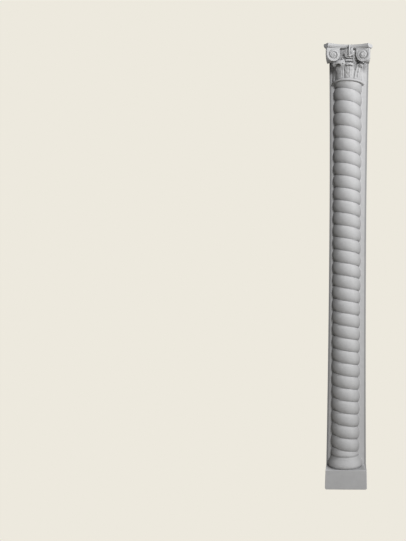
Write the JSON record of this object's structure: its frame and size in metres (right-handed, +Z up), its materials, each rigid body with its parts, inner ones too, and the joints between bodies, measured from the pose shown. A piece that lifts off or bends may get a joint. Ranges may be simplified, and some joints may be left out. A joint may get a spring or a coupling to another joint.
{
  "type": "twisted half column",
  "caption": "Half-round twisted plaster column on a flat panel, with a leafy scrolled capital, hollow-sided abacus, swelling base and block plinth.",
  "frame": {"origin": "on the underside of the plinth, midway across it, in the plane of the panel's front face", "axes": "+Z up along the column, -Y out of the carved front towards the viewer, +Y into the wall, +X to the viewer's right"},
  "size_m": [0.2636, 0.1718, 2.4],
  "materials": {
    "plaster": "matte"
  },
  "bodies": {
    "root": {"plaster_column": "plaster"}
  },
  "joints": []
}
